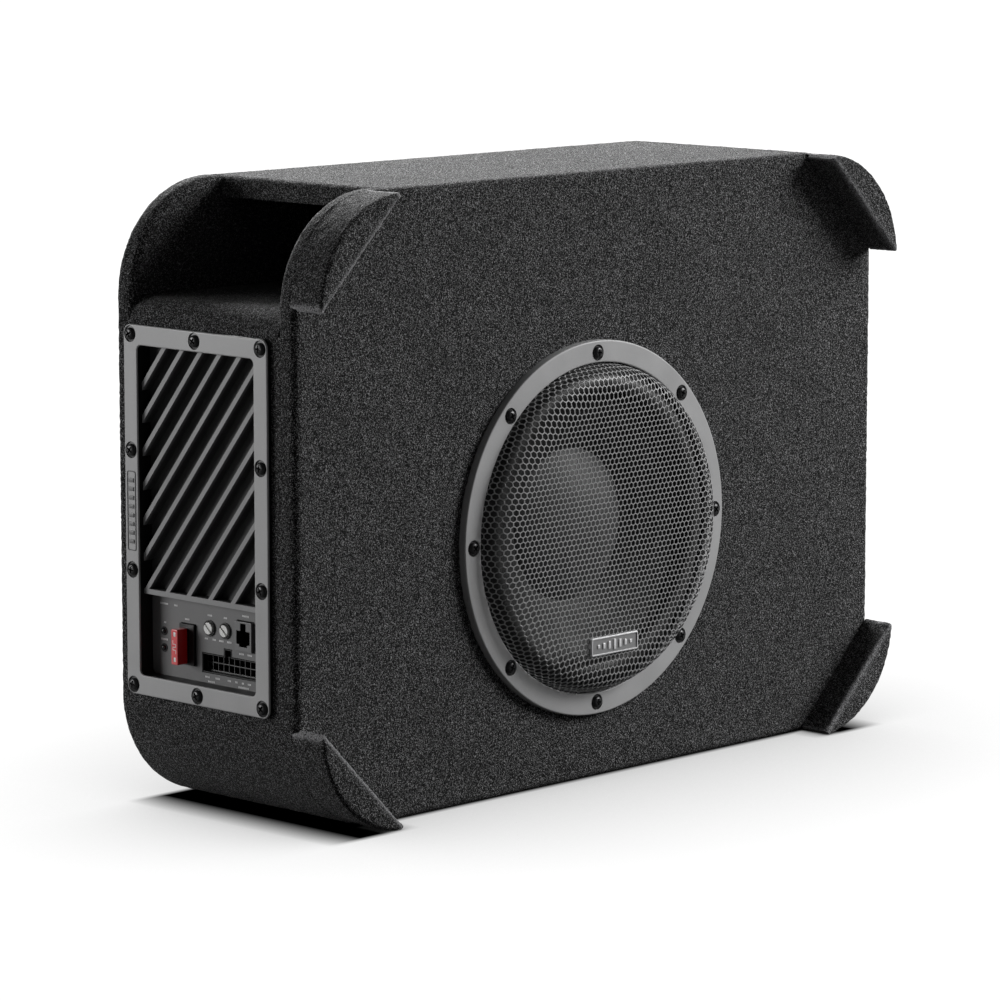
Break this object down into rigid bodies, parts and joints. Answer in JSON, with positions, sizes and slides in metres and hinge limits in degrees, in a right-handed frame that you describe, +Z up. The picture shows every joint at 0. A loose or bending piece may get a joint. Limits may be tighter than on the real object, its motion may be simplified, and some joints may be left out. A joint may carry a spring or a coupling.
{
  "type": "powered car subwoofer",
  "caption": "Carpeted ported box with corner bumpers, a woofer behind a domed hex grille and a built-in amplifier with heatsink and controls on one end.",
  "frame": {"origin": "middle of the cabinet's underside, on the surface it stands on; the cabinet is centred front to back without its bumpers", "axes": "+Z up, -Y the way the woofer looks, -X the end that holds the amplifier and the port mouth"},
  "size_m": [0.4674, 0.1575, 0.336],
  "materials": {
    "carpet": "speckled charcoal needle-punch carpet",
    "board": "raw fibreboard",
    "trim": "satin grey powder coat",
    "heatsink": "satin grey anodised casting",
    "mesh": "semi-gloss charcoal coat on perforated steel",
    "badge": "brushed grey plate with a light rim",
    "screw": "black oxide",
    "paper": "moulded black pulp",
    "rubber": "matt black",
    "cloth": "amber phenolic cloth",
    "copper": "copper winding on a former",
    "steel": "zinc plated",
    "ferrite": "sintered ferrite",
    "basket": "black coated metal",
    "pcb": "green solder mask",
    "black_plastic": "moulded",
    "grey_plastic": "moulded",
    "white_plastic": "moulded",
    "red_plastic": "translucent red moulding",
    "lamp": "clear lamp dome"
  },
  "bodies": {
    "enclosure": {"carpet_front": "carpet", "carpet_back": "carpet", "carpet_top": "carpet", "carpet_bottom": "carpet", "carpet_left": "carpet", "carpet_right": "carpet", "bumper_top_left": "carpet", "bumper_top_right": "carpet", "bumper_bottom_left": "carpet", "bumper_bottom_right": "carpet", "front_baffle": "board", "back_panel": "board", "top_panel": "board", "bottom_panel": "board", "left_panel": "board", "right_panel": "board", "port_shelf": "board", "grille_ring": "trim", "amp_bezel": "trim", "heatsink": "heatsink", "control_plate": "heatsink", "grille_mesh": "mesh", "badge": "badge", "ring_screw_1": "screw", "ring_screw_2": "screw", "ring_screw_3": "screw", "ring_screw_4": "screw", "ring_screw_5": "screw", "ring_screw_6": "screw", "ring_screw_7": "screw", "ring_screw_8": "screw", "bezel_screw_1": "screw", "bezel_screw_2": "screw", "bezel_screw_3": "screw", "bezel_screw_4": "screw", "bezel_screw_5": "screw", "bezel_screw_6": "screw", "bezel_screw_7": "screw", "bezel_screw_8": "screw", "bezel_screw_9": "screw", "bezel_screw_10": "screw", "surround": "rubber", "spider": "cloth", "top_plate": "steel", "yoke": "steel", "magnet": "ferrite", "basket": "basket", "amp_cover": "basket", "amp_pcb": "pcb", "fuse_holder": "black_plastic", "harness_header": "black_plastic", "remote_jack": "grey_plastic", "led_power": "lamp", "led_protect": "lamp"},
    "cone_assembly": {"cone": "paper", "dust_cap": "paper", "voice_coil": "copper"},
    "gain_trimmer": {"gain_knob": "white_plastic"},
    "crossover_trimmer": {"crossover_knob": "white_plastic"},
    "blade_fuse": {"fuse": "red_plastic"}
  },
  "joints": [
    {"name": "cone_stroke", "type": "slide", "parent": "enclosure", "child": "cone_assembly", "axis": [0, -1, 0], "range_m": [-0.008, 0.008], "stiffness_N_per_m": 2900, "deforming": ["surround", "spider"]},
    {"name": "gain_turn", "type": "hinge", "parent": "enclosure", "child": "gain_trimmer", "pos_m": [-0.225, 0.0037, 0.1031], "axis": [-1, 0, 0], "range_deg": [-140, 140]},
    {"name": "crossover_turn", "type": "hinge", "parent": "enclosure", "child": "crossover_trimmer", "pos_m": [-0.225, -0.0084, 0.1031], "axis": [-1, 0, 0], "range_deg": [-140, 140]},
    {"name": "fuse_pull", "type": "slide", "parent": "enclosure", "child": "blade_fuse", "axis": [-1, 0, 0], "range_m": [0, 0.03]}
  ]
}
